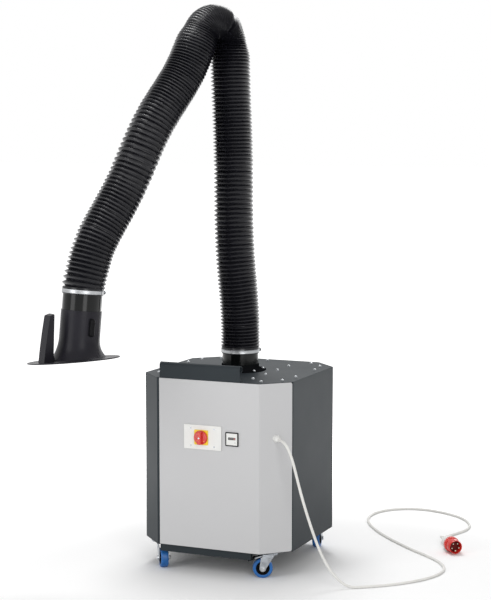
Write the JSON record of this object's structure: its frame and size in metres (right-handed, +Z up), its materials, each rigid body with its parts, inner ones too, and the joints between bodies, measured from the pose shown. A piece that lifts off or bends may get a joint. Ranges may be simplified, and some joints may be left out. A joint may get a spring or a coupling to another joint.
{
  "type": "mobile welding fume extractor",
  "caption": "Mobile welding fume extractor: octagonal filter cabinet on braked casters, ribbed extraction arm with joints, turning hood with damper, mains cord and plug.",
  "frame": {"origin": "on the floor, under the middle of the object's box without its cord", "axes": "+Z up, -Y out of the front panel, +X to the right seen from the front"},
  "size_m": [1.4303, 1.9659, 2.273],
  "materials": {
    "side_paint": "satin",
    "panel_paint": "satin",
    "black_paint": "gloss",
    "zinc": "satin",
    "clamp_steel": "polished",
    "bare_steel": "satin",
    "hose_rubber": "satin",
    "hood_plastic": "matte",
    "black_plastic": "satin",
    "white_plastic": "satin",
    "yellow_plastic": "gloss",
    "red_plastic": "gloss",
    "grey_plastic": "satin",
    "cord_white": "satin",
    "pin_brass": "polished",
    "tyre_blue": "satin",
    "filter_media": "matte",
    "carbon_media": "matte",
    "mesh_aluminium": "satin",
    "motor_cast": "satin"
  },
  "bodies": {
    "cabinet": {"base_frame": "side_paint", "cabinet_wrap": "side_paint", "front_panel": "panel_paint", "top_plate": "side_paint", "handle_rail": "side_paint", "cabinet_screws": "zinc", "switch_plate": "white_plastic", "switch_escutcheon": "yellow_plastic", "switch_body": "black_plastic", "hour_meter_case": "black_plastic", "hour_meter_face": "white_plastic", "cable_gland": "white_plastic", "swivel_flange": "black_paint", "inlet_duct": "bare_steel", "filter_frame": "bare_steel", "spark_trap": "mesh_aluminium", "main_filter": "filter_media", "carbon_cell": "carbon_media", "fan_scroll": "side_paint", "fan_motor": "motor_cast", "exhaust_grille": "side_paint", "electrical_box": "grey_plastic", "door_hinges": "zinc", "caster_plates": "zinc", "mains_cord": "cord_white", "plug_body": "white_plastic", "plug_collar": "red_plastic", "plug_pins": "pin_brass"},
    "switch_knob": {"switch_knob": "red_plastic"},
    "fan_impeller": {"fan_impeller": "bare_steel"},
    "filter_door": {"filter_door": "side_paint"},
    "latch_lower": {"latch_lower": "black_plastic"},
    "latch_upper": {"latch_upper": "black_plastic"},
    "swivel_collar": {"collar_tube": "black_paint", "hose_clamp_base": "clamp_steel", "shoulder_bracket": "zinc", "hose_shoulder": "hose_rubber"},
    "lower_arm": {"lower_arm_tube": "zinc", "hose_lower": "hose_rubber"},
    "elbow": {"elbow_link": "zinc", "hose_elbow": "hose_rubber"},
    "upper_arm": {"upper_arm_tube": "zinc", "hose_upper": "hose_rubber"},
    "wrist": {"wrist_bracket": "zinc", "hose_wrist": "hose_rubber", "hose_clamp_hood": "clamp_steel", "hood_sleeve": "black_paint"},
    "hood": {"hood_shell": "hood_plastic"},
    "damper": {"damper_blade": "bare_steel", "damper_knob": "black_plastic"},
    "fork_front_left": {"fork_front_left": "zinc"},
    "wheel_front_left": {"wheel_front_left": "tyre_blue"},
    "fork_front_right": {"fork_front_right": "zinc"},
    "wheel_front_right": {"wheel_front_right": "tyre_blue"},
    "pedal_front_right": {"pedal_front_right": "black_plastic"},
    "fork_rear_left": {"fork_rear_left": "zinc"},
    "wheel_rear_left": {"wheel_rear_left": "tyre_blue"},
    "pedal_rear_left": {"pedal_rear_left": "black_plastic"},
    "fork_rear_right": {"fork_rear_right": "zinc"},
    "wheel_rear_right": {"wheel_rear_right": "tyre_blue"}
  },
  "joints": [
    {"name": "arm_swivel", "type": "hinge", "parent": "cabinet", "child": "swivel_collar", "pos_m": [0.12511, 0.25443, 0.79], "axis": [0, 0, 1], "continuous": true},
    {"name": "shoulder_tilt", "type": "hinge", "parent": "swivel_collar", "child": "lower_arm", "pos_m": [0.12511, 0.25443, 0.93], "axis": [0.866, -0.5, 0], "range_deg": [-35, 15], "deforming": ["hose_shoulder"]},
    {"name": "elbow_lower", "type": "hinge", "parent": "lower_arm", "child": "elbow", "pos_m": [0.09279, 0.19844, 2.16838], "axis": [-0.866, 0.5, 0], "range_deg": [0, 50], "deforming": ["hose_elbow"]},
    {"name": "elbow_upper", "type": "hinge", "parent": "elbow", "child": "upper_arm", "pos_m": [0.04706, 0.11925, 2.1946], "axis": [-0.866, 0.5, 0], "range_deg": [0, 55]},
    {"name": "wrist_tilt", "type": "hinge", "parent": "upper_arm", "child": "wrist", "pos_m": [-0.24686, -0.38985, 1.2217], "axis": [0.866, -0.5, 0], "range_deg": [-45, 45], "deforming": ["hose_wrist"]},
    {"name": "hood_turn", "type": "hinge", "parent": "wrist", "child": "hood", "pos_m": [-0.25345, -0.40125, 1.08735], "axis": [0.0488, 0.0845, 0.9952], "continuous": true},
    {"name": "damper_turn", "type": "hinge", "parent": "hood", "child": "damper", "pos_m": [-0.25643, -0.40641, 1.02664], "axis": [0.866, -0.5, 0], "range_deg": [0, 90]},
    {"name": "switch_turn", "type": "hinge", "parent": "cabinet", "child": "switch_knob", "pos_m": [0.10061, -0.07957, 0.561], "axis": [0, -1, 0], "range_deg": [-90, 0]},
    {"name": "fan_spin", "type": "hinge", "parent": "cabinet", "child": "fan_impeller", "pos_m": [0.12511, 0.26443, 0.284], "axis": [0, 0, 1], "continuous": true},
    {"name": "door_swing", "type": "hinge", "parent": "cabinet", "child": "filter_door", "pos_m": [-0.08889, 0.58573, 0.5555], "axis": [0, 0, 1], "range_deg": [0, 110]},
    {"name": "latch_lower_turn", "type": "hinge", "parent": "filter_door", "child": "latch_lower", "pos_m": [0.30611, 0.57943, 0.4292], "axis": [0, 1, 0], "range_deg": [0, 90]},
    {"name": "latch_upper_turn", "type": "hinge", "parent": "filter_door", "child": "latch_upper", "pos_m": [0.30611, 0.57943, 0.6818], "axis": [0, 1, 0], "range_deg": [0, 90]},
    {"name": "caster_front_left", "type": "hinge", "parent": "cabinet", "child": "fork_front_left", "pos_m": [-0.11789, 0.01143, 0.097], "axis": [0, 0, 1], "continuous": true},
    {"name": "roll_front_left", "type": "hinge", "parent": "fork_front_left", "child": "wheel_front_left", "pos_m": [-0.09724, -0.01806, 0.04], "axis": [0.8192, 0.5736, 0], "continuous": true},
    {"name": "caster_front_right", "type": "hinge", "parent": "cabinet", "child": "fork_front_right", "pos_m": [0.36811, 0.01143, 0.097], "axis": [0, 0, 1], "continuous": true},
    {"name": "roll_front_right", "type": "hinge", "parent": "fork_front_right", "child": "wheel_front_right", "pos_m": [0.3351, -0.00292, 0.04], "axis": [0.3987, -0.9171, 0], "continuous": true},
    {"name": "brake_front_right", "type": "hinge", "parent": "fork_front_right", "child": "pedal_front_right", "pos_m": [0.33968, -0.00093, 0.091], "axis": [0.3987, -0.9171, 0], "range_deg": [0, 5]},
    {"name": "caster_rear_left", "type": "hinge", "parent": "cabinet", "child": "fork_rear_left", "pos_m": [-0.11789, 0.49743, 0.097], "axis": [0, 0, 1], "continuous": true},
    {"name": "roll_rear_left", "type": "hinge", "parent": "fork_rear_left", "child": "wheel_rear_left", "pos_m": [-0.0884, 0.51808, 0.04], "axis": [-0.5736, 0.8192, 0], "continuous": true},
    {"name": "brake_rear_left", "type": "hinge", "parent": "fork_rear_left", "child": "pedal_rear_left", "pos_m": [-0.0925, 0.51521, 0.091], "axis": [-0.5736, 0.8192, 0], "range_deg": [0, 5]},
    {"name": "caster_rear_right", "type": "hinge", "parent": "cabinet", "child": "fork_rear_right", "pos_m": [0.36811, 0.49743, 0.097], "axis": [0, 0, 1], "continuous": true},
    {"name": "roll_rear_right", "type": "hinge", "parent": "fork_rear_right", "child": "wheel_rear_right", "pos_m": [0.36124, 0.53277, 0.04], "axis": [-0.9816, -0.1908, 0], "continuous": true}
  ]
}
